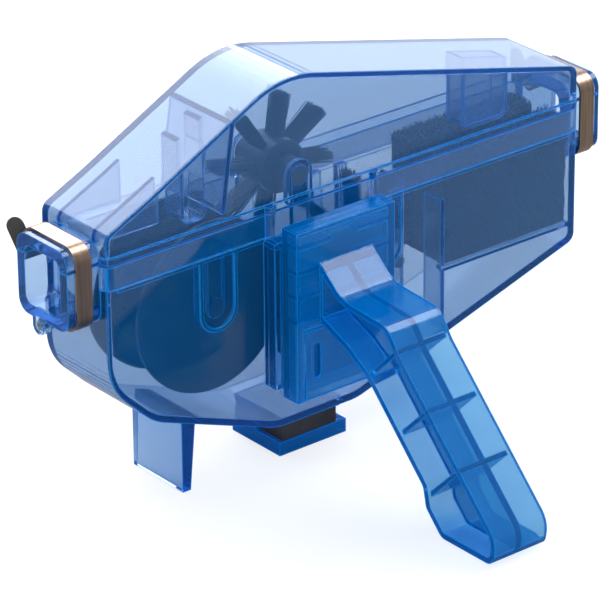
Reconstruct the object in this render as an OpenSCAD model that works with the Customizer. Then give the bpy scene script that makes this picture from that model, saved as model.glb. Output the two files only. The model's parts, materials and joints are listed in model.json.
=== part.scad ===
// Clip-on bicycle chain cleaner: a clear box with three brush wheels, closed by two spring clips.
// X runs along the chain towards the rear nose, Y = 0 is the mid-plane, the handle side is -Y and
// Z = 0 is the table. Shapes are written from the face of the front nose; in_frame() then moves
// them, so that the origin is the middle of the leg's foot.

/* [Housing] */
// Length from the front nose face to the rear nose face
overall_len = 230; // [220:1:240]
// Width of the cover and the body over their side walls
wall_w = 34.4; // [34:0.2:36]
// Thickness of the moulded walls
wall_t = 2; // [1.6:0.1:2.4]
// Height of the parting line between cover and body
seam_z = 93.3; // [92:0.1:95]
// Length that each nose stands out from the end wall
nose_len = 13; // [12:0.5:15]
// Width of a nose
nose_w = 27; // [26:0.5:28]
// Height of a nose
nose_h = 28.6; // [28:0.2:30]
// Part of a nose's height that lies above the parting line
nose_above = 7.4; // [6:0.2:9]
// Corner radius of a nose
nose_r = 5; // [4:0.5:6]
// Width of the frame round the chain window
nose_frame = 4; // [3.6:0.2:5]

/* [Cover] */
// Height of the cover's blunt front corner
cover_front_z = 104; // [102:0.5:106]
// Height of the fold above the front nose
cover_fold_z = 112.5; // [110:0.5:115]
// Distance of that fold from the body's front wall
cover_fold_x = 18; // [15:0.5:22]
// Free height between the upper brush's tips and the crossing of the cover's sloping planes
crown_gap = 13.1; // [12:0.1:16]
// Distance of that crossing from the body's front wall
cover_peak_x = 73.4; // [70:0.2:76]
// Height of the cover's rear top corner
cover_rear_z = 108.7; // [106:0.5:111]
// Radius of the round crown
crown_r = 36; // [25:1:40]
// Radius of the other outline corners
corner_r = 4; // [3:0.5:5]
// Height of the ledge on top of the skirt
ledge_z = 96.5; // [96:0.1:98]
// Depth of the skirt that hangs over the body's rim
skirt_h = 11.3; // [9:0.1:12]
// Thickness of the skirt
skirt_t = 1.1; // [0.9:0.1:1.4]
// Free gap between skirt and body
skirt_gap = 0.15; // [0.1:0.05:0.3]
// Distance of the baffle's top from the body's front wall
baffle_top_x = 54; // [52:0.5:55]
// Lean of the baffle towards the front nose
baffle_lean = 8.5; // [5:0.5:12]
// Height of the baffle's lower edge
baffle_low_z = 98; // [96:0.5:100]
// Height of the underside of the chain hold-down fingers
finger_low_z = 92; // [91.5:0.5:95]
// Width of the chain hold-down fingers across the chain
finger_w = 8; // [6:0.5:9]
// Length of the front hold-down finger along the chain
front_finger_len = 11; // [8:0.5:14]
// Length of the rear hold-down finger along the chain
rear_finger_len = 21; // [16:0.5:24]
// Thickness of ribs, fingers and baffles
rib_t = 1.6; // [1.2:0.1:2]

/* [Body] */
// Height of the foot of the front wall, before the rounding
front_low_z = 49.5; // [48:0.5:54]
// Height of the second corner of the belly
belly_mid_z = 32.5; // [30:0.5:34]
// Distance of that corner from the front wall
belly_mid_x = 17.5; // [16:0.5:20]
// Height of the belly's flat underside
belly_z = 13.2; // [12.5:0.1:15]
// Distance of the flat's front end from the front wall
flat_x0 = 69; // [66:1:71]
// Distance of the flat's rear end from the front wall
flat_x1 = 104; // [103:1:108]
// Height of the lower rear corner
rear_low_z = 43.2; // [40:0.2:46]
// Radius of the belly's front corner
belly_r = 22; // [16:1:26]
// Width of an axle seat pad
seat_w = 15.6; // [14:0.2:17]
// Depth of an axle seat pad, in from the wall
seat_t = 2.1; // [1.8:0.1:2.2]
// Width of the leg plate
leg_w = 27; // [24:0.5:30]
// Distance of the leg's front face from the nose face
leg_x = 44.4; // [42:0.2:48]
// Thickness of the leg at the table
leg_foot_t = 3.4; // [3:0.1:5]
// Thickness of the leg at its root
leg_root_t = 5.6; // [4.5:0.1:7]

/* [Brush wheels] */
// Diameter of the axles
axle_d = 6.84; // [6.8:0.01:6.9]
// Width of the slots that the axles turn in
slot_w = 7; // [6.98:0.01:7.04]
// Distance of the front lower axle from the nose face
front_axle_x = 58; // [57:0.5:59]
// Distance of the rear lower axle from the nose face
rear_axle_x = 129.5; // [128:0.5:131]
// Height of the two lower axles
low_axle_z = 64.8; // [64:0.2:66]
// Distance of the upper axle from the nose face
top_axle_x = 93.6; // [93:0.1:94]
// Height of the upper axle
top_axle_z = 102.6; // [102:0.2:103]
// Radius of the front wheel's two discs
disc_r = 30.5; // [29:0.5:31]
// Thickness of a disc
disc_t = 1.4; // [1.2:0.1:1.6]
// Radius over the tips of the star brushes
star_r = 25.3; // [24:0.1:25.4]
// Radius of a star brush's hub
hub_r = 7.6; // [7:0.1:8.2]
// Width of a star brush's hub
hub_w = 13; // [12:0.5:14]
// Thickness of the sleeve that carries the tufts
sleeve_t = 1.7; // [1.5:0.1:2]
// Number of arms round a star brush
star_arms = 8; // [6:1:9]
// Strands across an arm, along the axle
arm_across = 6; // [4:2:6]
// Strands along an arm's edge, round the hub
arm_around = 3; // [3:1:4]
// Thickness of a strand
strand_d = 0.9; // [0.7:0.05:1]
// Free length of the disc strands
disc_strand_len = 5.6; // [5:0.1:6]
// Tufts in a disc's ring
disc_tufts = 12; // [10:1:16]

/* [Spring clips] */
// Width of the steel band
band_w = 6.3; // [6:0.1:7]
// Thickness of the steel band
band_t = 0.8; // [0.6:0.1:1]
// Distance of the band from the nose face
band_x = 3; // [2.8:0.1:3.4]
// Diameter of the clip pins
pin_d = 3; // [2.6:0.1:3.2]
// Offset of the clip pins from the mid-plane
pin_y = 3; // [1:0.5:4]
// Length of the thumb tab
tab_len = 12; // [8:0.5:14]
// Rise of the thumb tab above level
tab_rise = 50; // [40:1:60]
// Height of the bend below the top of the nose
tab_drop = 10; // [8:0.5:12]

/* [Sponge] */
// Free gap between the rear brush's tips and the sponge
sponge_gap = 2.6; // [2:0.2:8]
// Height of the sponge's top
sponge_top_z = 90; // [88:0.5:91]
// Height of the sponge's underside
sponge_low_z = 50; // [49:0.5:52]
// Width of the slit that the chain runs through
slit_w = 6; // [5:0.5:8]
// Depth of the slit
slit_h = 8; // [7:0.5:9]

/* [Magnet tray] */
// Distance of the tray from the leg's front face
tray_offset = 41.1; // [40:0.1:42]
// Length of the tray
tray_len = 29; // [28:0.5:30]
// Width of the tray
tray_w = 25.8; // [25:0.2:27]
// Thickness of the tray's floor
tray_t = 5; // [4:0.2:5.4]
// Length of the magnet
magnet_len = 23.4; // [22:0.2:24]
// Width of the magnet
magnet_w = 22; // [20:0.5:22.5]
// Height of the magnet
magnet_h = 8; // [7:0.1:8.2]

/* [Handle] */
// Distance of the handle's middle from the front lower axle
handle_offset = 43; // [42:0.5:46]
// Width of the grip
grip_w = 22.5; // [20:0.5:25]
// Thickness of the grip's shell
grip_t = 2.2; // [1.8:0.1:2.6]
// Reach of the foot's far edge from the mid-plane
foot_reach = 118; // [112:1:122]
// Length of the foot's flat
foot_len = 25.4; // [24:0.2:27]
// Width of the mounting box
box_w = 42; // [40:0.5:44]
// Depth of the mounting box, out from its back wall
box_depth = 7.75; // [7:0.25:10]
// Height of the mounting box's top
box_top_z = 90; // [88:0.5:92]
// Height of the mounting box's underside
box_low_z = 28; // [26:0.5:29]
// Thickness of the sliding plate
plate_t = 3.4; // [3:0.1:3.6]
// Height of the sliding plate's top
plate_top_z = 82.4; // [80:0.1:82.6]
// Running gap of the sliding plate
slide_gap = 0.25; // [0.2:0.05:0.35]
// Thickness of the rails
rail_t = 3; // [2.6:0.1:3.4]
// Height of the release tab
release_h = 25; // [22:0.5:26]
// Width of the release tab
release_w = 35; // [30:0.5:36]

/* [Hidden] */
$fn = 64;

// Cutting tools run past the faces they cut by this much
over = 1;
// Press fits leave this much on the radius
press_gap = 0.02;
// Smallest gap between pieces that only lie together
lie_gap = 0.1;

cover_peak_z = top_axle_z + star_r + crown_gap;
frame_x = leg_x + leg_foot_t / 2;
wall_y = wall_w / 2;
inner_y = wall_y - wall_t;
body_x0 = nose_len;
body_x1 = overall_len - nose_len - wall_t / 2;
body_len = body_x1 - body_x0;
nose_top = seam_z + nose_above;
nose_low = nose_top - nose_h;
chain_z = nose_top - nose_h / 2;
window_w = nose_w - 2 * nose_frame;
window_h = nose_h - 2 * nose_frame;
skirt_y = wall_y + skirt_gap + skirt_t;
skirt_low = ledge_z - skirt_h;

axle_r = axle_d / 2;
slot_r = slot_w / 2;
seat_y = inner_y - seat_t;
axle_len = 2 * (inner_y - lie_gap);
disc_gap = 0.4;
disc_y = seat_y - disc_gap;
disc_hub_r = 6.5;

handle_x = front_axle_x + handle_offset;
rail_inset = 0.2;
rail_x = box_w / 2 - rail_inset;
lip_w = 3.4;
lip_t = 1.9;
plate_y = wall_y + slide_gap;
lip_y = plate_y + plate_t + slide_gap;
neck_w = 2 * (rail_x - lip_w - slide_gap);
box_y = lip_y + lip_t + slide_gap;
box_reach = box_y + box_depth;
rail_low_z = box_low_z + rail_t;
hinge_r = 1.2;
hinge_gap = 0.1;
release_top_z = box_low_z + release_h;

tray_x = leg_x + tray_offset;
tray_y = -14.1;
tray_rim_x = 1.7;
tray_rim_y = 0.6;
magnet_x = tray_x + tray_rim_x;
magnet_y = tray_y + tray_rim_y;
recess_h = 0.3;

sponge_fit = 0.6;
sponge_x0 = rear_axle_x + star_r + sponge_gap;
sponge_x1 = body_x1 - wall_t - sponge_fit;
sponge_w = 2 * (inner_y - sponge_fit);

// Corner points of the body's side outline, from the rim down the front and round the belly
body_corners = [
    [body_x0, ledge_z],
    [body_x0, front_low_z],
    [body_x0 + belly_mid_x, belly_mid_z],
    [body_x0 + flat_x0, belly_z],
    [body_x0 + flat_x1, belly_z],
    [body_x1, rear_low_z],
    [body_x1, ledge_z]];
body_radii = [0, belly_r, belly_r, belly_r, belly_r, corner_r, 0];

// Corner points of the cover's side outline; its closed end lies below the parting line
cover_corners = [
    [body_x0, seam_z - 2 * wall_t],
    [body_x1, seam_z - 2 * wall_t],
    [body_x1, cover_rear_z],
    [body_x0 + cover_peak_x, cover_peak_z],
    [body_x0 + cover_fold_x, cover_fold_z],
    [body_x0, cover_front_z]];
cover_radii = [0, 0, corner_r, crown_r, crown_r / 2, corner_r];

function heading(a, b) = (b - a) / norm(b - a);

// Corner points moved in by d; the outline runs anticlockwise
function inset(p, d) = let (n = len(p)) [for (i = [0 : n - 1])
    let (u = heading(p[(i + n - 1) % n], p[i]),
         v = heading(p[i], p[(i + 1) % n]),
         nu = [-u.y, u.x],
         nv = [-v.y, v.x])
    p[i] + d * (nu + nv) / (1 + nu * nv)];

// An arc of radius r in the corner a-b-c
function corner_arc(a, b, c, r, steps) = r <= 0 ? [b] :
    let (u = heading(b, a),
         v = heading(b, c),
         half = acos(u * v) / 2,
         mid = b + heading([0, 0], u + v) * r / sin(half),
         p0 = b + u * r / tan(half) - mid,
         p1 = b + v * r / tan(half) - mid,
         a0 = atan2(p0.y, p0.x),
         turn = (atan2(p1.y, p1.x) - a0 + 540) % 360 - 180)
    [for (k = [0 : steps]) mid + r * [cos(a0 + turn * k / steps), sin(a0 + turn * k / steps)]];

function rounded(p, r, steps = 8) = let (n = len(p)) [for (i = [0 : n - 1])
    each corner_arc(p[(i + n - 1) % n], p[i], p[(i + 1) % n], r[i], steps)];

function less(r, d) = [for (v = r) max(0, v - d)];

// Moves a piece from the front nose's face to the frame of the whole object
module in_frame() {
    translate([-frame_x, 0, 0]) children();
}

// Draws a side outline (x, z) from y0 over the length len
module along_y(y0, len) {
    translate([0, y0 + len, 0]) rotate([90, 0, 0]) linear_extrude(len) children();
}

// Draws a cross outline (y, z) from x0 over the length len
module along_x(x0, len) {
    translate([x0, 0, 0]) rotate([90, 0, 90]) linear_extrude(len) children();
}

module block(x, y, z) {
    translate([x[0], y[0], z[0]]) cube([x[1] - x[0], y[1] - y[0], z[1] - z[0]]);
}

// Flat rounded rectangle round its centre
module round_rect(w, h, r) {
    square([w, h - 2 * r], center = true);
    square([w - 2 * r, h], center = true);
    for (sx = [-1, 1], sy = [-1, 1]) translate([sx * (w / 2 - r), sy * (h / 2 - r)]) circle(r);
}

// A round bar of strand thickness between two points
module strand(a, b) {
    d = b - a;
    length = norm(d);
    translate(a) rotate([0, acos(d.z / length), atan2(d.y, d.x)])
        cylinder(d = strand_d, h = length, $fn = 3);
}

module nose_outline(grow = 0) {
    translate([0, chain_z]) round_rect(nose_w + 2 * grow, nose_h + 2 * grow, nose_r + grow);
}

module window_outline() {
    translate([0, chain_z]) round_rect(window_w, window_h, nose_r - nose_frame / 2);
}

module both_ends() {
    children();
    translate([body_x0 + body_x1, 0, 0]) mirror([1, 0, 0]) children();
}

// One nose tube with its foot in the end wall
module nose() {
    along_x(0, nose_len + wall_t / 2) difference() {
        nose_outline();
        window_outline();
    }
}

// Front nose, and the rear one at the other end of the frame
module noses() {
    nose();
    translate([overall_len, 0, 0]) mirror([1, 0, 0]) nose();
}

module window_cuts() {
    along_x(-over, nose_len + wall_t + 2 * over) window_outline();
    along_x(body_x1 - wall_t - over, nose_len + wall_t + 3 * over) window_outline();
}

module side_shell(corners, radii) {
    difference() {
        along_y(-wall_y, wall_w) polygon(rounded(corners, radii));
        along_y(-inner_y, 2 * inner_y) polygon(rounded(inset(corners, wall_t), less(radii, wall_t)));
    }
}

// Everything above or below the parting line
module above_seam() {
    block([-over, overall_len + over], [-wall_w, wall_w], [seam_z, cover_peak_z + over]);
}

module below_seam() {
    block([-over, overall_len + over], [-wall_w, wall_w], [-over, seam_z]);
}

// Pad on the inside of both walls with a slot, open at the top, that an axle drops into
module seat_pads(x) {
    for (s = [0, 1]) mirror([0, s, 0]) along_y(seat_y, seat_t + wall_t / 2) {
        translate([x, low_axle_z]) circle(seat_w / 2);
        translate([x - seat_w / 2, low_axle_z]) square([seat_w, skirt_low - low_axle_z]);
    }
}

module seat_slots(x) {
    along_y(-inner_y, 2 * inner_y) {
        translate([x, low_axle_z]) circle(slot_r);
        translate([x - slot_r, low_axle_z]) square([slot_w, skirt_low - low_axle_z + over]);
    }
}

// Tongues that carry the upper axle from below, inside the cover's seats
tongue_gap = 0.3;
tongue_rise = 8;
tongue_low_z = low_axle_z + tongue_rise;
module top_tongues() {
    for (s = [0, 1]) mirror([0, s, 0]) along_y(seat_y, seat_t) difference() {
        translate([top_axle_x - slot_r + tongue_gap, tongue_low_z])
            square([slot_w - 2 * tongue_gap, top_axle_z - slot_r / 2 - tongue_low_z]);
        translate([top_axle_x, top_axle_z]) circle(slot_r);
    }
    for (s = [0, 1]) mirror([0, s, 0])
        block([top_axle_x - slot_r + tongue_gap, top_axle_x + slot_r - tongue_gap],
            [seat_y, wall_y - wall_t / 2], [tongue_low_z, seam_z]);
}

// Leg plate under the belly, one tapered plate as wide as the nose
leg_top_z = belly_mid_z - 2 * wall_t;
gusset = 2.4;
module leg() {
    along_y(-leg_w / 2, leg_w) polygon([
        [leg_x, 0],
        [leg_x + leg_foot_t, 0],
        [leg_x + leg_root_t, leg_top_z - 2 * gusset],
        [leg_x + leg_root_t + gusset, leg_top_z - gusset],
        [leg_x + leg_root_t + gusset, leg_top_z],
        [leg_x, leg_top_z]]);
}

// Raised rims round the axle seats and along both side walls, just under the skirt
rim_w = 1.3;
rim_t = 0.5;
rim_top_z = skirt_low - 4 * lie_gap;
module seat_outline(x, inset_w) {
    translate([x, low_axle_z]) circle(seat_w / 2 - inset_w);
    translate([x - seat_w / 2 + inset_w, low_axle_z]) square([seat_w - 2 * inset_w, rim_top_z - low_axle_z]);
}

module wall_rims() {
    difference() {
        for (s = [0, 1]) mirror([0, s, 0]) {
            for (x = [front_axle_x, rear_axle_x])
                along_y(wall_y - wall_t / 2, wall_t / 2 + rim_t) difference() {
                    seat_outline(x, 0);
                    seat_outline(x, rim_w);
                }
            block([body_x0 + corner_r, body_x1 - corner_r], [wall_y - wall_t / 2, wall_y + rim_t],
                [rim_top_z - rim_w, rim_top_z]);
        }
        block([handle_x - rail_x, handle_x + rail_x], [-wall_w, -wall_y],
            [rail_low_z, plate_top_z + lie_gap / 2]);
    }
}

// Ears under a nose that the clip pin runs through
ear_r = 3.2;
ear_t = 2.7;
pin_z = nose_low - lie_gap * 3 / 2 - band_t - pin_d / 2;
module ears() {
    for (x = [0, nose_len - ear_t]) along_x(x, ear_t) difference() {
        union() {
            translate([pin_y, pin_z]) circle(ear_r);
            translate([pin_y - ear_r, pin_z]) square([2 * ear_r, nose_low + wall_t - pin_z]);
        }
        translate([pin_y, pin_z]) circle(pin_d / 2 + press_gap);
    }
}

// Rails on the near wall that the handle's plate slides in from below, and their top stop
module rails() {
    for (s = [0, 1]) translate([handle_x, 0, 0]) mirror([s, 0, 0]) {
        block([rail_x, rail_x + rail_t], [-lip_y - lip_t, -wall_y + wall_t / 2], [rail_low_z, plate_top_z]);
        block([rail_x - lip_w, rail_x + rail_t], [-lip_y - lip_t, -lip_y], [rail_low_z, plate_top_z]);
    }
    block([handle_x - rail_x - rail_t, handle_x + rail_x + rail_t],
        [-lip_y - lip_t, -wall_y + wall_t / 2], [plate_top_z + lie_gap / 2, plate_top_z + wall_t]);
}

// Fins in front of the sponge and shelves along both walls that it stands on
fin_w = 9;
fin_drop = 11;
shelf_w = 3;
module sponge_ribs() {
    for (s = [0, 1]) mirror([0, s, 0]) {
        block([sponge_x0 - rib_t - sponge_fit, sponge_x0 - sponge_fit],
            [inner_y - fin_w, inner_y + wall_t / 2], [belly_z, chain_z - fin_drop]);
        block([sponge_x0 - rib_t, body_x1], [inner_y - shelf_w, inner_y + wall_t / 2],
            [sponge_low_z - rib_t, sponge_low_z]);
    }
}

// Small hook under the belly that stops the magnet's rear end
hook_w = 4;
hook_t = 1.4;
hook_h = 2.6;
module magnet_hook() {
    x = magnet_x + magnet_len + 2 * lie_gap;
    block([x, x + hook_t], [magnet_y, magnet_y + hook_w], [belly_z - hook_h, belly_z + wall_t / 2]);
}

// The body's hollow, and the same grown to the middle of the wall for what is fused to it
module body_hollow() {
    along_y(-inner_y, 2 * inner_y) polygon(rounded(inset(body_corners, wall_t), less(body_radii, wall_t)));
}

module inside_belly() {
    along_y(-wall_y, wall_w) polygon(rounded(inset(body_corners, wall_t / 2), less(body_radii, wall_t / 2)));
}

module lower_body() {
    color("#1f6fc4", 0.6) in_frame() difference() {
        union() {
            intersection() {
                side_shell(body_corners, body_radii);
                below_seam();
            }
            intersection() {
                noses();
                below_seam();
            }
            seat_pads(front_axle_x);
            seat_pads(rear_axle_x);
            top_tongues();
            difference() {
                leg();
                body_hollow();
            }
            wall_rims();
            ears();
            translate([overall_len, 0, 0]) mirror([1, 0, 0]) ears();
            rails();
            intersection() {
                sponge_ribs();
                inside_belly();
            }
            magnet_hook();
        }
        seat_slots(front_axle_x);
        seat_slots(rear_axle_x);
        window_cuts();
    }
}

// Seats in the cover for the upper axle, open at the bottom
top_seat_w = 10.6;
module top_seats() {
    for (s = [0, 1]) mirror([0, s, 0]) along_y(seat_y, seat_t + wall_t / 2) difference() {
        union() {
            translate([top_axle_x, top_axle_z]) circle(top_seat_w / 2);
            translate([top_axle_x - top_seat_w / 2, seam_z + lie_gap])
                square([top_seat_w, top_axle_z - seam_z - lie_gap]);
        }
        translate([top_axle_x, top_axle_z]) circle(slot_r);
        translate([top_axle_x - slot_r, seam_z]) square([slot_w, top_axle_z - seam_z]);
    }
}

// Skirt round the body's rim, open where the noses pass through it, with a round column over
// each of the handle's rails
column_r = 1.7;
module skirt() {
    out_x = skirt_gap + skirt_t;
    difference() {
        union() {
            translate([(body_x0 + body_x1) / 2, 0, skirt_low]) linear_extrude(skirt_h)
                round_rect(body_len + 2 * out_x, 2 * skirt_y, corner_r);
            for (s = [-1, 1])
                translate([handle_x + s * (rail_x + rail_t / 2), -skirt_y, skirt_low])
                    cylinder(r = column_r, h = skirt_h);
        }
        block([body_x0 - skirt_gap, body_x1 + skirt_gap], [-wall_y - skirt_gap, wall_y + skirt_gap],
            [skirt_low - over, seam_z]);
        block([body_x0 + wall_t / 2, body_x1 - wall_t / 2], [-inner_y - wall_t / 2, inner_y + wall_t / 2],
            [seam_z - over, ledge_z + over]);
        for (x = [body_x0, body_x1]) along_x(x - 2 * out_x, 4 * out_x) union() {
            nose_outline(band_t + 2 * lie_gap);
            translate([-nose_w / 2 - band_t, nose_low - over]) square([nose_w + 2 * band_t, nose_h / 2]);
        }
    }
}

// Hollow finger that keeps the chain down: two walls and a floor with round corners
module finger(x, len, top_z) {
    along_y(-finger_w / 2, finger_w) difference() {
        polygon(rounded([[x, top_z], [x, finger_low_z], [x + len, finger_low_z], [x + len, top_z]],
            [0, corner_r, corner_r, 0]));
        polygon(rounded([[x + rib_t, top_z + over], [x + rib_t, finger_low_z + rib_t],
            [x + len - rib_t, finger_low_z + rib_t], [x + len - rib_t, top_z + over]],
            [0, corner_r - rib_t, corner_r - rib_t, 0]));
    }
}

// Inner parts of the cover are trimmed to the middle of its wall
module inside_cover() {
    along_y(-wall_y + wall_t / 2, wall_w - wall_t)
        polygon(rounded(inset(cover_corners, wall_t / 2), less(cover_radii, wall_t / 2)));
    block([body_x0 + wall_t, body_x1 - wall_t], [-inner_y, inner_y], [finger_low_z - over, seam_z + wall_t]);
}

// Leaning baffle across the cover in front of the upper brush
module baffle() {
    drop = cover_peak_z - baffle_low_z;
    back = drop * tan(baffle_lean);
    x = body_x0 + baffle_top_x;
    along_y(-wall_y, wall_w) polygon([
        [x - back, baffle_low_z],
        [x - back + rib_t, baffle_low_z],
        [x + rib_t, cover_peak_z],
        [x, cover_peak_z]]);
}

// Two ribs over the front nose that steer the chain
guide_y = 8.5;
module guides() {
    for (s = [0, 1]) mirror([0, s, 0])
        block([body_x0 + wall_t / 2, body_x0 + cover_fold_x + 5 * rib_t], [guide_y, guide_y + rib_t],
            [seam_z + 3 * wall_t, cover_peak_z]);
}

module cover() {
    color("#3f8fdc", 0.5) in_frame() {
        difference() {
            union() {
                intersection() {
                    side_shell(cover_corners, cover_radii);
                    block([body_x0 - over, body_x1 + over], [-wall_w, wall_w], [seam_z, cover_peak_z + over]);
                }
                intersection() {
                    noses();
                    above_seam();
                }
                skirt();
                top_seats();
                intersection() {
                    union() {
                        baffle();
                        guides();
                        finger(front_axle_x - front_finger_len / 2, front_finger_len, cover_peak_z);
                        finger(body_x1 - 2 * rear_finger_len, rear_finger_len, cover_peak_z);
                    }
                    inside_cover();
                }
            }
            window_cuts();
        }
    }
}

// Spring clip round a nose: barrel on the pin, band under, up the near side and over the top,
// a hook down the far side and a thumb tab bent out and up
bend_r = 1.6;
tab_z = nose_top - tab_drop;
module clip() {
    grow = lie_gap + band_t;
    mid_y = nose_w / 2 + lie_gap + band_t / 2;
    bend_y = mid_y + bend_r;
    along_x(band_x, band_w) {
        difference() {
            nose_outline(grow);
            nose_outline(lie_gap);
            translate([nose_w / 2 - nose_r, nose_low - over]) square([nose_w, tab_z - nose_low + over]);
            translate([pin_y, nose_low - over]) square([nose_w, nose_r]);
        }
        difference() {
            translate([pin_y, pin_z]) circle(pin_d / 2 + lie_gap / 2 + band_t);
            translate([pin_y, pin_z]) circle(pin_d / 2 + lie_gap / 2);
        }
        intersection() {
            difference() {
                translate([bend_y, tab_z]) circle(bend_r + band_t / 2);
                translate([bend_y, tab_z]) circle(bend_r - band_t / 2);
            }
            translate([bend_y, tab_z]) polygon([
                [0, 0],
                [-2 * bend_r, 0],
                [-2 * bend_r, -2 * bend_r],
                [2 * bend_r, -2 * bend_r],
                3 * bend_r * [cos(tab_rise - 90), sin(tab_rise - 90)]]);
        }
    }
    translate([band_x, bend_y, tab_z]) rotate([tab_rise, 0, 0])
        translate([0, 0, -bend_r - band_t / 2]) linear_extrude(band_t) {
            square([band_w, tab_len - band_w / 2]);
            translate([band_w / 2, tab_len - band_w / 2]) circle(band_w / 2);
        }
}

module front_clip() {
    color("#8a7a6c") in_frame() clip();
}

module rear_clip() {
    color("#8a7a6c") in_frame() translate([overall_len, 0, 0]) mirror([1, 0, 0]) clip();
}

pin_short = 0.3;
module clip_pin() {
    translate([pin_short, pin_y, pin_z]) rotate([0, 90, 0])
        cylinder(d = pin_d, h = nose_len - 2 * pin_short);
}

module clip_pins() {
    color("#b8b4ae") in_frame() {
        clip_pin();
        translate([overall_len, 0, 0]) mirror([1, 0, 0]) clip_pin();
    }
}

module axle(x, z) {
    translate([x, axle_len / 2, z]) rotate([90, 0, 0]) cylinder(d = axle_d, h = axle_len);
}

// One disc of the front wheel with its half of the hub, far side
module disc_half() {
    along_y(0, disc_y) translate([front_axle_x, low_axle_z]) difference() {
        circle(disc_hub_r);
        circle(axle_r + press_gap);
    }
    along_y(disc_y - disc_t, disc_t) translate([front_axle_x, low_axle_z]) difference() {
        circle(disc_r);
        circle(axle_r + press_gap);
    }
}

module front_disc_far() {
    color("#1d2430") in_frame() disc_half();
}

module front_disc_near() {
    color("#1d2430") in_frame() mirror([0, 1, 0]) disc_half();
}

// Ring of strand tufts that stand in from a disc towards the chain, three strands to a tuft
ring_r = 21;
ring_w = 5;
ring_t = 1;
tuft_r = 1.2;
module bristle_ring() {
    root_y = disc_y - disc_t - lie_gap / 2;
    along_y(root_y - ring_t, ring_t) translate([front_axle_x, low_axle_z]) difference() {
        circle(ring_r + ring_w / 2);
        circle(ring_r - ring_w / 2);
    }
    for (k = [0 : disc_tufts - 1], j = [0 : 2]) {
        a = 360 * k / disc_tufts;
        b = 120 * j + a;
        x = front_axle_x + ring_r * cos(a) + tuft_r * cos(b);
        z = low_axle_z + ring_r * sin(a) + tuft_r * sin(b);
        strand([x, root_y - ring_t / 2, z], [x, root_y - ring_t - disc_strand_len, z]);
    }
}

module front_bristles_far() {
    color("#2a3038") in_frame() bristle_ring();
}

module front_bristles_near() {
    color("#2a3038") in_frame() mirror([0, 1, 0]) bristle_ring();
}

module front_axle() {
    color("#23262b") in_frame() axle(front_axle_x, low_axle_z);
}

// Hub of a star brush: a drum for the sleeve and two necks that keep it between the seats
neck_r = 5;
neck_gap = 0.3;
module star_hub(x, z) {
    along_y(-hub_w / 2, hub_w) translate([x, z]) difference() {
        circle(hub_r);
        circle(axle_r + press_gap);
    }
    along_y(-seat_y + neck_gap, 2 * (seat_y - neck_gap)) translate([x, z]) difference() {
        circle(neck_r);
        circle(axle_r + press_gap);
    }
}

// Arms of straight strands that stand out from a sleeve
pitch_around = 1.05;
pitch_across = 1.35;
arm_phase = 80;
module star_bristles(x, z, phase) {
    sleeve_r = hub_r + press_gap + sleeve_t;
    along_y(-hub_w / 2, hub_w) translate([x, z]) difference() {
        circle(sleeve_r);
        circle(hub_r + press_gap);
    }
    for (arm = [0 : star_arms - 1]) {
        out = [cos(phase + 360 * arm / star_arms), sin(phase + 360 * arm / star_arms)];
        side = [-out.y, out.x];
        for (i = [0 : arm_around - 1], j = [0 : arm_across - 1]) {
            u = (i - (arm_around - 1) / 2) * pitch_around;
            v = (j - (arm_across - 1) / 2) * pitch_across;
            root = (sleeve_r - sleeve_t / 2) * out + u * side;
            tip = sqrt(pow(star_r - strand_d, 2) - u * u) * out + u * side;
            strand([x + root.x, v, z + root.y], [x + tip.x, v, z + tip.y]);
        }
    }
}

module rear_brush_hub() {
    color("#1d2430") in_frame() star_hub(rear_axle_x, low_axle_z);
}

module rear_brush_bristles() {
    color("#2a3038") in_frame() star_bristles(rear_axle_x, low_axle_z, arm_phase + 15);
}

module rear_axle() {
    color("#23262b") in_frame() axle(rear_axle_x, low_axle_z);
}

module top_brush_hub() {
    color("#1d2430") in_frame() star_hub(top_axle_x, top_axle_z);
}

module top_brush_bristles() {
    color("#2a3038") in_frame() star_bristles(top_axle_x, top_axle_z, arm_phase);
}

module top_axle() {
    color("#23262b") in_frame() axle(top_axle_x, top_axle_z);
}

module sponge() {
    color("#3a4148") in_frame() difference() {
        block([sponge_x0, sponge_x1], [-sponge_w / 2, sponge_w / 2], [sponge_low_z, sponge_top_z]);
        block([sponge_x0 - over, sponge_x1 + over], [-slit_w / 2, slit_w / 2],
            [sponge_top_z - slit_h, sponge_top_z + over]);
    }
}

module magnet() {
    color("#30292c") in_frame() block([magnet_x, magnet_x + magnet_len], [magnet_y, magnet_y + magnet_w],
        [tray_t - recess_h, tray_t - recess_h + magnet_h]);
}

// Tray under the belly with a shallow seat for the magnet and two walls up to the belly
tray_wall = 1.4;
module magnet_tray() {
    color("#2458a8") in_frame() difference() {
        union() {
            block([tray_x, tray_x + tray_len], [tray_y, tray_y + tray_w], [0, tray_t]);
            block([tray_x, tray_x + tray_len], [tray_y + tray_w - tray_wall, tray_y + tray_w], [0, belly_z]);
            block([tray_x, tray_x + tray_wall], [tray_y + tray_w / 2, tray_y + tray_w], [0, belly_z]);
        }
        block([magnet_x - lie_gap, magnet_x + magnet_len + lie_gap],
            [magnet_y - lie_gap, magnet_y + magnet_w + lie_gap], [tray_t - recess_h, belly_z + over]);
    }
}

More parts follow.
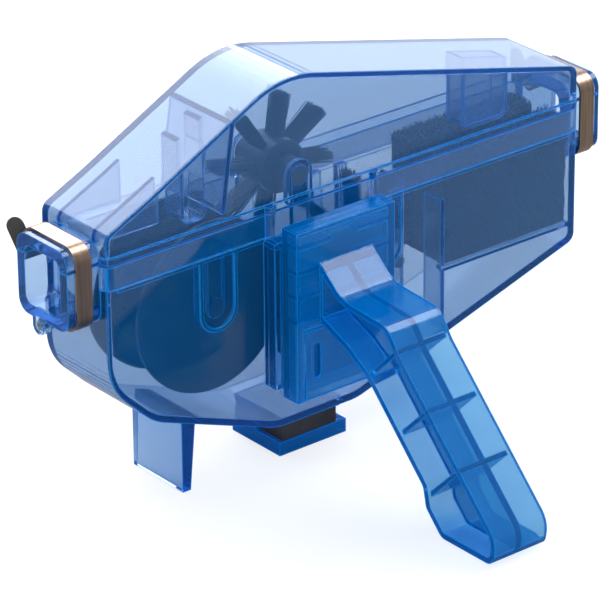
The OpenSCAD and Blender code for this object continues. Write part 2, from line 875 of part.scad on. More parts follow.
// Corner points of the grip's outline as shares of the foot's reach and of the box's height:
// shoulder, knee, below the knee and toe on the upper side, heel, heel's top, bend and root below
grip_shares = [
    [0.356, 0.753],
    [0.555, 0.736],
    [0.606, 0.64],
    [1.012, 0.106],
    [0.719, 0.088],
    [0.706, 0.169],
    [0.475, 0.478],
    [0.373, 0.561]];
grip_points = [for (p = grip_shares) [-p.x * foot_reach, p.y * box_top_z]];
root_drop = 12;
root_y = -box_reach + wall_t / 2;
grip_corners = concat(
    [[root_y, release_top_z + rail_t], [root_y, box_top_z - root_drop]],
    [for (i = [0 : 3]) grip_points[i]],
    [[-foot_reach, 0], [-foot_reach + foot_len, 0]],
    [for (i = [4 : 7]) grip_points[i]]);
foot_r = 4;
knee_r = 8;
toe_r = 9;
bend_big_r = 14;
grip_radii = [0, 0, bend_big_r, knee_r, bend_big_r, toe_r,
    foot_r, foot_r, foot_r, foot_r, bend_big_r, knee_r];

// Hollow grip with a middle web and cross ribs, open to both sides
grip_ribs = 3;
web_t = 2.4;
first_rib_share = [0.528, 0.574];
last_rib_share = [0.792, 0.229];
module grip() {
    x0 = handle_x - grip_w / 2;
    along_x(x0, grip_w) difference() {
        polygon(rounded(grip_corners, grip_radii));
        polygon(rounded(inset(grip_corners, grip_t), less(grip_radii, grip_t)));
    }
    along_x(handle_x - web_t / 2, web_t) polygon(rounded(grip_corners, grip_radii));
    along_x(x0 + grip_t / 2, grip_w - grip_t) intersection() {
        polygon(rounded(inset(grip_corners, grip_t / 2), less(grip_radii, grip_t / 2)));
        for (k = [0 : grip_ribs - 1]) {
            mid = first_rib_share + (last_rib_share - first_rib_share) * k / (grip_ribs - 1);
            translate([-mid.x * foot_reach, mid.y * box_top_z]) rotate(45)
                translate([-rib_t / 2, -grip_w]) square([rib_t, 2 * grip_w]);
        }
    }
}

// Box between the sliding plate and the grip, with a window for the release tab
box_rib_pitch = 9;
module handle_box() {
    x0 = handle_x - box_w / 2;
    x1 = handle_x + box_w / 2;
    difference() {
        block([x0, x1], [-box_reach, -box_y], [box_low_z, box_top_z]);
        block([x0 + wall_t, x1 - wall_t], [-box_reach + wall_t, -box_y - wall_t],
            [box_low_z - over, box_top_z - wall_t]);
        block([handle_x - release_w / 2 - lie_gap * 5, handle_x + release_w / 2 + lie_gap * 5],
            [-box_reach - over, -box_reach + wall_t + over / 2], [box_low_z - over, release_top_z + hinge_r]);
    }
    for (s = [0, 1]) translate([handle_x, 0, 0]) mirror([s, 0, 0])
        for (z = [release_top_z + hinge_r + wall_t : box_rib_pitch : box_top_z - wall_t])
            block([grip_w / 4, box_w / 2 - wall_t / 2],
                [-box_reach + wall_t / 2, -box_y - wall_t / 2], [z, z + rib_t]);
}

module hinge_bar(r, length) {
    translate([handle_x - length / 2, -box_reach + hinge_r, release_top_z + hinge_r / 2])
        rotate([0, 90, 0]) cylinder(r = r, h = length);
}

module handle() {
    color("#0a78c8", 0.7) in_frame() difference() {
        union() {
            block([handle_x - rail_x + slide_gap, handle_x + rail_x - slide_gap],
                [-plate_y - plate_t, -plate_y], [box_low_z + wall_t, plate_top_z]);
            block([handle_x - neck_w / 2, handle_x + neck_w / 2], [-box_y - wall_t / 2, -plate_y - plate_t / 2],
                [box_low_z + wall_t, plate_top_z]);
            handle_box();
            grip();
        }
        hinge_bar(hinge_r + hinge_gap, release_w + lie_gap * 10);
    }
}

// Release tab: a springy tongue with two finger slots, hung on its upper edge
slot_pitch = 25.4;
finger_slot_w = 3;
finger_slot_h = 12.5;
module release_tab() {
    color("#1a86d0", 0.7) in_frame() {
        difference() {
            block([handle_x - release_w / 2, handle_x + release_w / 2], [-box_reach, -box_reach + wall_t],
                [box_low_z + lie_gap, release_top_z]);
            for (s = [-1, 1]) along_y(-box_reach - over, wall_t + 2 * over)
                translate([handle_x + s * slot_pitch / 2, box_low_z + release_h / 2 + finger_slot_w / 2])
                    round_rect(finger_slot_w, finger_slot_h, finger_slot_w * 0.49);
        }
        hinge_bar(hinge_r, release_w);
    }
}

lower_body();
cover();
front_clip();
rear_clip();
clip_pins();
front_disc_near();
front_disc_far();
front_bristles_near();
front_bristles_far();
front_axle();
rear_brush_hub();
rear_brush_bristles();
rear_axle();
top_brush_hub();
top_brush_bristles();
top_axle();
sponge();
magnet();
magnet_tray();
handle();
release_tab();
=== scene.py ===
# %% [markdown]
# # A clip-on bicycle chain cleaner
# The real thing is a clear blue box of moulded plastic. Three brush wheels, a sponge and a
# magnet sit in it, and two steel spring clips hold it shut round the chain. The solids come from
# the CAD frame, in metres. This script gives each of them the finish of its material, makes the
# soft pieces that CAD can only block out, and lights and frames the whole like a studio picture.

# %% Load the frame
import json
import math

import bmesh
import bpy
import numpy as np
from mathutils import Matrix, Vector


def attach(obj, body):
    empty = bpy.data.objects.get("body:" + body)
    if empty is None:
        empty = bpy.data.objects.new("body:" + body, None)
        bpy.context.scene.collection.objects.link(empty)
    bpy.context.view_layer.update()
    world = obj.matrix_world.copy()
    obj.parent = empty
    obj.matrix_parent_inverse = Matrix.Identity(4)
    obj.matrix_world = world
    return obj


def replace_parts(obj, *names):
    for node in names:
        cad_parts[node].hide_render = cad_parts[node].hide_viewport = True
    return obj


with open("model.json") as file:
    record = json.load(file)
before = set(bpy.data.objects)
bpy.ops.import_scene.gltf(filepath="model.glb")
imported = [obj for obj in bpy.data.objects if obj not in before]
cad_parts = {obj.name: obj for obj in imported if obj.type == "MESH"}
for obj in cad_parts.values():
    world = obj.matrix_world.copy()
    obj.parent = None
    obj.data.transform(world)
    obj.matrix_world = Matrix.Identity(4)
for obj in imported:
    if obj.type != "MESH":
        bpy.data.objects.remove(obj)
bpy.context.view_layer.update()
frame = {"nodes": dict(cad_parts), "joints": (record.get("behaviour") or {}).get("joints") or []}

MM = 0.001
scene = bpy.context.scene

# %% [markdown]
# ## Small tools
# Colours are written as they look on a screen and turned to linear light once. One function
# adds a node to a material with its settings and links, so that each finish below reads as a
# list of what it is made of. Every pattern is laid on Object coordinates, which stay with the
# piece when it moves.


# %% Colour and node tools
def linear(hex_colour):
    """sRGB hex to linear RGBA: v / 12.92 below 0.04045, else ((v + 0.055) / 1.055) ** 2.4."""
    v = np.array([int(hex_colour[i:i + 2], 16) / 255 for i in (1, 3, 5)])
    rgb = np.where(v <= 0.04045, v / 12.92, ((v + 0.055) / 1.055) ** 2.4)
    return (*rgb.tolist(), 1.0)


def add(tree, kind, inputs=None, stops=None, **settings):
    """Adds a node; a socket as an input's value becomes a link. The two stops of a colour ramp
    are (position, hex colour) pairs."""
    node = tree.nodes.new(kind)
    for name, value in settings.items():
        setattr(node, name, value)
    for name, value in (inputs or {}).items():
        if isinstance(value, bpy.types.NodeSocket):
            tree.links.new(value, node.inputs[name])
        else:
            node.inputs[name].default_value = value
    if stops:
        for point, (position, colour) in zip(node.color_ramp.elements, stops):
            point.position = position
            point.color = linear(colour)
    return node


def new_material(name):
    """An empty node material; returns it with its tree and its output node."""
    material = bpy.data.materials.new(name)
    material.use_nodes = True
    tree = material.node_tree
    tree.nodes.clear()
    return material, tree, add(tree, "ShaderNodeOutputMaterial")


print("tools ready")

# %% [markdown]
# ## Camera
# The photograph was taken from the front left, a little above, with a long lens. The angles,
# the distance and the aim were fitted to about forty edges of the object, and the camera also
# leans half a degree, so its axes are written straight into its matrix.

# %% Camera
azimuth, elevation, roll = (math.radians(degrees) for degrees in (-38.97, 25.60, -0.562))
DISTANCE = 1.4746
back = Vector((math.sin(azimuth) * math.cos(elevation),
               -math.cos(azimuth) * math.cos(elevation),
               math.sin(elevation)))
level = Vector((math.cos(azimuth), math.sin(azimuth), 0))
right = math.cos(roll) * level + math.sin(roll) * back.cross(level)
aim = Vector((0.0639, 0.0046, 0.0443))
pose = Matrix((right, back.cross(right), back)).transposed().to_4x4()
pose.translation = aim + DISTANCE * back
lens = bpy.data.cameras.new("camera")
lens.lens = 260.0
lens.sensor_width = 36.0
camera = bpy.data.objects.new("camera", lens)
scene.collection.objects.link(camera)
camera.matrix_world = pose
scene.camera = camera
print("camera at", [round(value, 4) for value in pose.translation])

# %% [markdown]
# ## Clear blue polycarbonate
# The box, the cover and the handle are injection-moulded polycarbonate with a blue dye. Light
# that crosses a thin wall comes out a greyish blue, and where it runs along a wall or through a
# rib, the dye takes everything but blue. Plain transparency would be quicker to render, but it
# knows nothing of a wall's thickness. Glass-like refraction with an absorbing volume gives the
# first of the two. The second comes from the dye's own faint scatter, a small share of plain blue
# at each surface, which also makes black pieces behind a wall look navy. Shadow rays pass
# straight through, so that the box isn't dark inside. Moulded edges are never sharp: a bevel node
# rounds them for the light. Where its normal leaves the face's own, the eye looks along a wall.
# There the share of plain blue goes up, and a painted glow is added: the edge emits the body
# blue, standing in for light that runs within the wall. This draws the bright blue outlines that
# such boxes have.

# %% Clear plastic
# Clear plastics lie between 1.49 and 1.59
POLYCARBONATE_IOR = 1.5
# How far the rounding reaches, the share of plain blue there, and the strength of the painted
# edge glow
EDGE = 0.7 * MM
EDGE_SHARE, PAINTED_EDGE_GLOW = 0.75, 0.40
# The dot product of the rounded and the flat normal: on a flat wall, and where it is all edge
FLAT, ALL_EDGE = 1.0, 0.8
# Sink and flow marks of moulding, from one to the next
MARK, MARK_DEPTH = 9.09 * MM, 0.2 * MM
# What a surface lets through, and what it lets through to a shadow
SMOKE, SHADOW_TINT = "#E4E4E4", "#F3F8FC"


def clear_plastic(name, dye, density, body, share, roughness):
    """Refracting plastic over an absorbing volume, with a painted glow on its edges; share is the
    part of plain blue on a flat wall.
    """
    material, tree, out = new_material(name)
    where = add(tree, "ShaderNodeTexCoord").outputs["Object"]
    wave = add(tree, "ShaderNodeTexNoise", {"Vector": where, "Scale": 1 / MARK, "Detail": 1.0})
    edge = add(tree, "ShaderNodeBevel", {"Radius": EDGE}, samples=4)
    skin = add(tree, "ShaderNodeBump", {
        "Strength": 0.06, "Distance": MARK_DEPTH, "Height": wave.outputs["Fac"],
        "Normal": edge.outputs["Normal"]})
    clear = add(tree, "ShaderNodeBsdfPrincipled", {
        "Base Color": linear(SMOKE), "Transmission Weight": 1.0, "IOR": POLYCARBONATE_IOR,
        "Roughness": roughness, "Normal": skin.outputs["Normal"]})
    scatter = add(tree, "ShaderNodeBsdfDiffuse", {"Color": linear(body), "Normal": skin.outputs["Normal"]})
    face = add(tree, "ShaderNodeNewGeometry")
    flatness = add(tree, "ShaderNodeVectorMath", {0: edge.outputs["Normal"], 1: face.outputs["Normal"]},
                   operation="DOT_PRODUCT").outputs["Value"]
    blue = add(tree, "ShaderNodeMapRange", {
        "Value": flatness, "From Min": FLAT, "From Max": ALL_EDGE, "To Min": share, "To Max": EDGE_SHARE})
    wall = add(tree, "ShaderNodeMixShader", {
        0: blue.outputs["Result"], 1: clear.outputs[0], 2: scatter.outputs[0]})
    # Painted glow: the rounded edges emit the body blue, standing in for light that runs in the wall
    painted_glow_strength = add(tree, "ShaderNodeMapRange", {
        "Value": flatness, "From Min": FLAT, "From Max": ALL_EDGE, "To Max": PAINTED_EDGE_GLOW})
    painted_edge_glow = add(tree, "ShaderNodeEmission", {"Color": linear(body), "Strength": painted_glow_strength.outputs["Result"]})
    lit = add(tree, "ShaderNodeAddShader", {0: wall.outputs[0], 1: painted_edge_glow.outputs[0]})
    through = add(tree, "ShaderNodeBsdfTransparent", {"Color": linear(SHADOW_TINT)})
    path = add(tree, "ShaderNodeLightPath")
    surface = add(tree, "ShaderNodeMixShader", {
        0: path.outputs["Is Shadow Ray"], 1: lit.outputs[0], 2: through.outputs[0]})
    volume = add(tree, "ShaderNodeVolumeAbsorption", {"Color": linear(dye), "Density": density})
    tree.links.new(surface.outputs[0], out.inputs["Surface"])
    tree.links.new(volume.outputs[0], out.inputs["Volume"])
    return material


# A density of 400 per metre with a dye of the linear colour c absorbs 400 * (1 - c) per metre of
# path: most of the red within 10 mm, and most of the green within 20 mm. The thin housing is the
# clearest, the handle has more dye, and the tray under the magnet is all but opaque.
housing = clear_plastic("Clear blue polycarbonate, 2 mm", "#BCD8EF", 400.0, "#0080CC", 0.13, 0.012)
grip = clear_plastic("Clear blue polycarbonate, thick", "#61DAF1", 450.0, "#0080CC", 0.29, 0.03)
tray = clear_plastic("Blue polycarbonate, magnet tray", "#59BCDA", 500.0, "#086CBE", 0.50, 0.08)
print("clear plastics:", housing.name, "/", grip.name, "/", tray.name)

# %% [markdown]
# ## Opaque materials
# The wheels are moulded black nylon, satin with a fine spark-eroded grain. The bristles are
# crimped nylon filament. The clips are tempered spring steel: rolled strip with long scratches,
# browned by the heat, with their thumb tabs drawn black and not metallic. The pins are turned mild
# steel, bright and grey. The magnet is ferrite, a sintered ceramic, dark and slightly crumbly. One
# noise could roughen them all, but each process leaves marks of its own kind and size, and those
# tell steel from ceramic, so each material has its own pattern at a size in millimetres.


# %% Black nylon
NYLON_IOR = 1.53
PIT, PIT_DEPTH = 0.35 * MM, 0.04 * MM
NYLON_EDGE, NYLON_CLOUD = 0.25 * MM, 16.67 * MM


def moulded_nylon(name, low, high, roughness):
    """Black nylon between two tones, with the grain of the spark-eroded mould."""
    material, tree, out = new_material(name)
    where = add(tree, "ShaderNodeTexCoord").outputs["Object"]
    grain = add(tree, "ShaderNodeTexVoronoi", {"Vector": where, "Scale": 1 / PIT})
    tone = add(tree, "ShaderNodeTexNoise", {"Vector": where, "Scale": 1 / NYLON_CLOUD, "Detail": 4.0})
    edge = add(tree, "ShaderNodeBevel", {"Radius": NYLON_EDGE}, samples=4)
    skin = add(tree, "ShaderNodeBump", {
        "Strength": 0.25, "Distance": PIT_DEPTH, "Height": grain.outputs["Distance"],
        "Normal": edge.outputs["Normal"]})
    rough = add(tree, "ShaderNodeMapRange", {
        "Value": tone.outputs["Fac"], "To Min": roughness - 0.06, "To Max": roughness + 0.08})
    colour = add(tree, "ShaderNodeValToRGB", {"Fac": tone.outputs["Fac"]}, stops=[(0.3, low), (0.7, high)])
    shader = add(tree, "ShaderNodeBsdfPrincipled", {
        "Base Color": colour.outputs["Color"],
        "Roughness": rough.outputs["Result"], "IOR": NYLON_IOR, "Normal": skin.outputs["Normal"]})
    tree.links.new(shader.outputs[0], out.inputs["Surface"])
    return material


wheel_nylon = moulded_nylon("Moulded black nylon", "#14171C", "#1D2128", 0.42)
axle_nylon = moulded_nylon("Moulded black nylon, axles", "#1A1D22", "#24282E", 0.36)
print("nylon:", wheel_nylon.name)


# %% Filament, steel, ferrite
# Neighbouring filaments differ in tone. Scratches and powder grains are finer than this on the
# real pieces and are drawn as coarse as they need to be to show.
FILAMENT_TONE = 0.6 * MM
SCRATCH, SCRATCH_DEPTH = 0.9 * MM, 0.02 * MM
GRAIN, GRAIN_DEPTH = 0.7 * MM, 0.1 * MM
MAGNET_PATCH = 11.11 * MM
STRIP_EDGE, MAGNET_EDGE = 0.2 * MM, 0.5 * MM
TAB_BLACK, TAB_Y = "#15120F", 16.5 * MM


def filament_nylon():
    """Satin black filament, each a little darker or paler than the next."""
    material, tree, out = new_material("Crimped nylon filament")
    where = add(tree, "ShaderNodeTexCoord").outputs["Object"]
    tone = add(tree, "ShaderNodeTexNoise", {"Vector": where, "Scale": 1 / FILAMENT_TONE})
    colour = add(tree, "ShaderNodeValToRGB", {"Fac": tone.outputs["Fac"]},
                 stops=[(0.35, "#101215"), (0.7, "#31363D")])
    shader = add(tree, "ShaderNodeBsdfPrincipled", {
        "Base Color": colour.outputs["Color"],
        "Roughness": 0.38, "IOR": NYLON_IOR, "Sheen Weight": 0.15, "Sheen Roughness": 0.4})
    tree.links.new(shader.outputs[0], out.inputs["Surface"])
    return material


def rolled_steel(name, dark, pale, stretch, roughness, tab=None):
    """Steel whose scratches run long where stretch, the mapping's scale, is small. Where Y is
    more than tab, the strip is drawn black and not metallic."""
    material, tree, out = new_material(name)
    where = add(tree, "ShaderNodeTexCoord").outputs["Object"]
    along = add(tree, "ShaderNodeMapping", {"Vector": where, "Scale": stretch})
    lines = add(tree, "ShaderNodeTexNoise", {
        "Vector": along.outputs[0], "Scale": 1 / SCRATCH, "Detail": 3.0})
    edge = add(tree, "ShaderNodeBevel", {"Radius": STRIP_EDGE}, samples=4)
    skin = add(tree, "ShaderNodeBump", {
        "Strength": 0.12, "Distance": SCRATCH_DEPTH, "Height": lines.outputs["Fac"],
        "Normal": edge.outputs["Normal"]})
    rough = add(tree, "ShaderNodeMapRange", {
        "Value": lines.outputs["Fac"], "To Min": roughness - 0.08, "To Max": roughness + 0.1})
    colour = add(tree, "ShaderNodeValToRGB", {"Fac": lines.outputs["Fac"]},
                 stops=[(0.35, dark), (0.65, pale)]).outputs["Color"]
    metal = 1.0
    if tab:
        place = add(tree, "ShaderNodeSeparateXYZ", {"Vector": where})
        tab_part = add(tree, "ShaderNodeMapRange", {
            "Value": place.outputs["Y"], "From Min": tab, "From Max": tab + MM}).outputs["Result"]
        colour = add(tree, "ShaderNodeMix", {"Factor": tab_part, "A": colour, "B": linear(TAB_BLACK)},
                     data_type="RGBA").outputs[2]
        metal = add(tree, "ShaderNodeMath", {0: metal, 1: tab_part}, operation="SUBTRACT").outputs[0]
    shader = add(tree, "ShaderNodeBsdfPrincipled", {
        "Base Color": colour, "Metallic": metal, "Roughness": rough.outputs["Result"],
        "Normal": skin.outputs["Normal"]})
    tree.links.new(shader.outputs[0], out.inputs["Surface"])
    return material


def sintered_ferrite():
    """Dark grey ceramic with the grains and pits of the sintered powder."""
    material, tree, out = new_material("Sintered ferrite magnet")
    where = add(tree, "ShaderNodeTexCoord").outputs["Object"]
    grain = add(tree, "ShaderNodeTexNoise", {"Vector": where, "Scale": 1 / GRAIN, "Detail": 5.0})
    patch = add(tree, "ShaderNodeTexNoise", {"Vector": where, "Scale": 1 / MAGNET_PATCH, "Detail": 2.0})
    edge = add(tree, "ShaderNodeBevel", {"Radius": MAGNET_EDGE}, samples=4)
    skin = add(tree, "ShaderNodeBump", {
        "Strength": 0.5, "Distance": GRAIN_DEPTH, "Height": grain.outputs["Fac"],
        "Normal": edge.outputs["Normal"]})
    colour = add(tree, "ShaderNodeValToRGB", {"Fac": patch.outputs["Fac"]},
                 stops=[(0.3, "#2B2628"), (0.7, "#3D3A3F")])
    shader = add(tree, "ShaderNodeBsdfPrincipled", {
        "Base Color": colour.outputs["Color"],
        "Roughness": 0.55, "Metallic": 0.25, "Normal": skin.outputs["Normal"]})
    tree.links.new(shader.outputs[0], out.inputs["Surface"])
    return material


filament = filament_nylon()
spring_steel = rolled_steel(
    "Tempered spring steel strip", "#8C786B", "#A38D7D", (1.0, 0.04, 0.04), 0.30, tab=TAB_Y)
pin_steel = rolled_steel("Turned mild steel", "#8B8984", "#B5B2AC", (0.08, 1.0, 1.0), 0.28)
ferrite = sintered_ferrite()
print("metals and ferrite ready")

# %% [markdown]
# ## Finishes on the CAD pieces
# The rigid pieces already have their true shape, so each node keeps its mesh and only gets the
# material of the real piece.

# %% Give the CAD pieces their materials
finish_of = {
    housing: ["lower_body", "cover"],
    grip: ["handle", "release_tab"],
    tray: ["magnet_tray"],
    wheel_nylon: ["front_disc_near", "front_disc_far", "rear_brush_hub", "top_brush_hub"],
    axle_nylon: ["front_axle", "rear_axle", "top_axle"],
    spring_steel: ["front_clip", "rear_clip"],
    pin_steel: ["clip_pins"],
    ferrite: ["magnet"],
}
for material, names in finish_of.items():
    for name in names:
        mesh = frame["nodes"][name].data
        mesh.materials.clear()
        mesh.materials.append(material)
print("finished CAD pieces:", sum(len(names) for names in finish_of.values()))

# %% [markdown]
# ## Cheeks of the hold-down fingers
# Two hollow fingers hang from the roof and keep the chain down. The rear one has thin moulded
# cheeks between its walls: a flat outline with two round lower corners, 0.8 mm thick. A box with
# a Bevel modifier would come close, but its corners would all be round, so the outline is drawn
# with two arcs and given its thickness.


# %% Finger cheeks
FINGER_X = (128.7 * MM, 148.1 * MM)
FINGER_FOOT_Z = 92.8 * MM
FINGER_TOP_Z = (118.0 * MM, 113.2 * MM)
CHEEK_Y = (-3.9 * MM, 3.1 * MM)
CHEEK_T, CHEEK_CORNER = 0.8 * MM, 3.2 * MM


def piece(name, parts, material, body):
    """One object from several (points, faces) parts, riding on its body."""
    points, faces, start = [], [], 0
    for part_points, part_faces in parts:
        points.append(part_points)
        faces += [[index + start for index in face] for face in part_faces]
        start += len(part_points)
    mesh = bpy.data.meshes.new(name)
    mesh.from_pydata(np.concatenate(points).tolist(), [], faces)
    shape = bmesh.new()
    shape.from_mesh(mesh)
    bmesh.ops.recalc_face_normals(shape, faces=shape.faces)
    shape.to_mesh(mesh)
    shape.free()
    mesh.materials.append(material)
    made = bpy.data.objects.new(name, mesh)
    scene.collection.objects.link(made)
    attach(made, body)
    print(name, "has", len(mesh.polygons), "faces")
    return made


def cheek(y):
    """Outline in x, z: a sloping top and two lower corners, each the arc centre + radius
    (cos a, sin a); the same outline again one thickness further in y."""
    (x0, x1), (top0, top1), radius = FINGER_X, FINGER_TOP_Z, CHEEK_CORNER
    a = np.linspace(np.pi, 1.5 * np.pi, 9)
    z = FINGER_FOOT_Z + radius + radius * np.sin(a)
    left = np.stack([x0 + radius + radius * np.cos(a), z], -1)
    corner = np.stack([x1 - radius - radius * np.cos(a), z], -1)[::-1]
    outline = np.concatenate([[[x0, top0]], left, corner, [[x1, top1]]])
    n = len(outline)
    points = np.concatenate([np.insert(outline, 1, y + side * CHEEK_T, axis=1) for side in (0, 1)])
    i = np.arange(n)
    sides = np.stack([i, (i + 1) % n, (i + 1) % n + n, i + n], -1)
    return points, [i.tolist(), (i[::-1] + n).tolist()] + sides.tolist()


piece("rear_finger_cheeks", [cheek(y) for y in CHEEK_Y], housing, "cover")

# %% [markdown]
# ## Bristles
# A brush holds hundreds of filaments 0.3 mm thick. CAD has 36 to 144 thick strands for them,
# enough for the shape. Blender's hair would be thin enough, but it is no mesh that can be handed
# on. Here every filament is a three-sided tube along a slightly bent line, and all filaments of a
# brush are one mesh, made in one array operation.


# %% Filaments and turned rings
def tubes(roots, tips, bow, radius, rings=4, sides=3):
    """Filaments as tubes: centre = root + (tip - root) t + bow t^2, and round it
    radius (u cos a + v sin a), where u and v are square to root-tip. Both ends are closed."""
    t = np.linspace(0, 1, rings)[None, :, None]
    line = roots[:, None] + (tips - roots)[:, None] * t + bow[:, None] * t ** 2
    d = (tips - roots) / np.linalg.norm(tips - roots, axis=1, keepdims=True)
    helper = np.where(np.abs(d[:, 1:2]) > 0.7, [[1.0, 0, 0]], [[0, 1.0, 0]])
    u = np.cross(d, helper)
    u /= np.linalg.norm(u, axis=1, keepdims=True)
    v = np.cross(d, u)
    a = np.arange(sides) * 2 * np.pi / sides
    ring = radius * (np.cos(a)[None, :, None] * u[:, None] + np.sin(a)[None, :, None] * v[:, None])
    points = (line[:, :, None] + ring[:, None]).reshape(-1, 3)
    first = (np.arange(len(roots)) * rings * sides)[:, None, None]
    k = (np.arange(rings - 1) * sides)[None, :, None]
    i = np.arange(sides)[None, None, :]
    j = (i + 1) % sides
    quads = np.stack([first + k + i, first + k + j, first + k + sides + j, first + k + sides + i], -1)
    ends = first[:, 0] + np.arange(sides)[None]
    caps = ends[:, ::-1].tolist() + (ends + (rings - 1) * sides).tolist()
    return points, quads.reshape(-1, 4).tolist() + caps


def turned(profile, x, z, steps=72):
    """A ring about an axle at (x, z): the closed profile (radius, y) turned round it, so that
    a point is (x + r cos a, y, z + r sin a)."""
    a = np.arange(steps) * 2 * np.pi / steps
    r, y = np.array(profile).T
    points = np.stack([x + r * np.cos(a)[:, None], y + 0 * a[:, None], z + r * np.sin(a)[:, None]], -1)
    n = len(profile)
    i, k = np.meshgrid(np.arange(steps), np.arange(n), indexing="ij")
    i1, k1 = (i + 1) % steps, (k + 1) % n
    quads = np.stack([i * n + k, i * n + k1, i1 * n + k1, i1 * n + k], -1)
    return points.reshape(-1, 3), quads.reshape(-1, 4).tolist()


print("tools for filaments and rings ready")

# %% [markdown]
# ### Star brushes
# The rear lower wheel and the upper wheel carry eight arms of filaments each, straight out from
# a sleeve. An arm is a block of filaments 7.3 mm wide along the axle and 2.7 mm thick. The
# filaments lean a little out of line and end at slightly different lengths, as trimmed ones do.

# %% Star brushes
# Where each wheel's axle crosses the mid-plane, from the frame's joints
axle_at = {joint["child"]: (joint["pos_m"][0], joint["pos_m"][2])
           for joint in frame["joints"] if joint["name"].endswith("_spin")}
FILAMENT_R = 0.16 * MM
STAR_R = 25.3 * MM
SLEEVE_IN, SLEEVE_OUT, SLEEVE_W, SLEEVE_SOFT = 7.62 * MM, 9.32 * MM, 13 * MM, 0.3 * MM
ARMS, ACROSS, AROUND = 8, 15, 6
ARM_W, ARM_T = 7.3 * MM, 2.7 * MM
ROOT_DEPTH, TRIM, TRIM_SPREAD = 0.5 * MM, 0.75 * MM, 0.7 * MM
OFF_GRID, LEAN, BOW = 0.07 * MM, 0.22 * MM, 0.12 * MM
# An arm widens a little from its root to its tip, in its width and in its thickness
ROOT_W, ROOT_T, TIP_W, TIP_T = 0.96, 0.9, 1.04, 1.12


def star_brush(name, node, body, phase, seed):
    """Arm k points along the angle phase + 360 k / ARMS about the axle; its filaments stand on
    a grid across (along y) and around (square to the arm), with a random step off it."""
    x, z = axle_at[body]
    rng = np.random.default_rng(seed)
    arm, across, around = (g.ravel() for g in np.meshgrid(
        np.arange(ARMS), np.linspace(-0.5, 0.5, ACROSS), np.linspace(-0.5, 0.5, AROUND), indexing="ij"))
    angle = np.radians(phase + 360 * arm / ARMS)
    out = np.stack([np.cos(angle), 0 * angle, np.sin(angle)], -1)
    side = np.stack([-np.sin(angle), 0 * angle, np.cos(angle)], -1)
    axle = np.array([[0, 1.0, 0]])
    step = rng.normal(0, OFF_GRID, (2, len(angle)))
    y = (across * ARM_W + step[0])[:, None] * axle
    s = (around * ARM_T + step[1])[:, None] * side
    centre = np.array([[x, 0, z]])
    roots = centre + out * (SLEEVE_OUT - ROOT_DEPTH) + y * ROOT_W + s * ROOT_T
    reach = STAR_R - TRIM - rng.uniform(0, TRIM_SPREAD, len(angle))
    spread = rng.normal(0, LEAN, (2, len(angle)))
    tips = centre + out * reach[:, None] + y * TIP_W + s * TIP_T
    tips += spread[0][:, None] * axle + spread[1][:, None] * side
    bow = rng.normal(0, BOW, len(angle))[:, None] * side
    half, soft = SLEEVE_W / 2, SLEEVE_SOFT
    sleeve = [(SLEEVE_IN, -half), (SLEEVE_OUT - soft, -half), (SLEEVE_OUT, -half + soft),
              (SLEEVE_OUT, half - soft), (SLEEVE_OUT - soft, half), (SLEEVE_IN, half)]
    parts = [tubes(roots, tips, bow, FILAMENT_R), turned(sleeve, x, z)]
    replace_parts(piece(name, parts, filament, body), node)


star_brush("rear_brush_filaments", "rear_brush_bristles", "rear_wheel", phase=95, seed=11)
star_brush("top_brush_filaments", "top_brush_bristles", "top_wheel", phase=80, seed=12)

# %% [markdown]
# ### Bristle rings of the front wheel
# The front wheel is two discs with the chain between them. Each disc carries a ring of twelve
# tufts that reach in from both sides and scrub the chain's plates.

# %% Bristle rings
RING_R, RING_HALF_W = 21 * MM, 2.5 * MM
TUFTS, TUFT_R, TUFT_FILAMENTS = 12, 1.55 * MM, 26
BACK_Y, FRONT_Y, TIP_Y = 11.25 * MM, 10.25 * MM, 4.65 * MM
ROOT_IN, TIP_SPREAD, TUFT_BOW = 0.4 * MM, 0.4 * MM, 0.1 * MM
SUNFLOWER_TURN, TUFT_FAN = 137.5, 1.15


def bristle_ring(name, node, side, seed):
    """Tuft k sits at the angle 360 k / TUFTS on the ring; its N filaments lie on a sunflower
    spiral: the n-th at the radius TUFT_R sqrt((n + 0.3) / N) and at n times 137.5 degrees."""
    x, z = axle_at["front_wheel"]
    rng = np.random.default_rng(seed)
    tuft, n = (g.ravel() for g in np.meshgrid(np.arange(TUFTS), np.arange(TUFT_FILAMENTS), indexing="ij"))
    big = 2 * np.pi * tuft / TUFTS
    small, r = np.radians(SUNFLOWER_TURN) * n, TUFT_R * np.sqrt((n + 0.3) / TUFT_FILAMENTS)
    foot = np.stack([x + RING_R * np.cos(big) + r * np.cos(small), 0 * big,
                     z + RING_R * np.sin(big) + r * np.sin(small)], -1)
    middle = np.stack([x + RING_R * np.cos(big), 0 * big, z + RING_R * np.sin(big)], -1)
    axle = np.array([[0, 1.0, 0]])
    roots = foot + side * (FRONT_Y + ROOT_IN) * axle
    reach = TIP_Y + rng.uniform(0, TIP_SPREAD, len(big))
    tips = middle + (foot - middle) * TUFT_FAN + side * reach[:, None] * axle
    bow = rng.normal(0, TUFT_BOW, (len(big), 3)) * np.array([[1, 0, 1]])
    inner, outer = RING_R - RING_HALF_W, RING_R + RING_HALF_W
    profile = [(inner, side * FRONT_Y), (outer, side * FRONT_Y),
               (outer, side * BACK_Y), (inner, side * BACK_Y)]
    parts = [tubes(roots, tips, bow, FILAMENT_R), turned(profile, x, z)]
    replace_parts(piece(name, parts, filament, "front_wheel"), node)


bristle_ring("front_filaments_far", "front_bristles_far", side=1, seed=21)
bristle_ring("front_filaments_near", "front_bristles_near", side=-1, seed=22)

# %% [markdown]
# ## Sponge
# The sponge is a block of open-cell foam with a slit for the chain. Cut foam is never flat: its
# faces show torn cells, and its edges are soft. A copy of the CAD block is remeshed to small
# faces, its corners are smoothed, and the points sink in waves of several sizes. Short fibres
# cover the top, and the fine cells are left to the material.


# %% Foam finish
CELL, CELL_WALL, CELL_DEPTH = 1.1 * MM, 0.5 * MM, 0.5 * MM


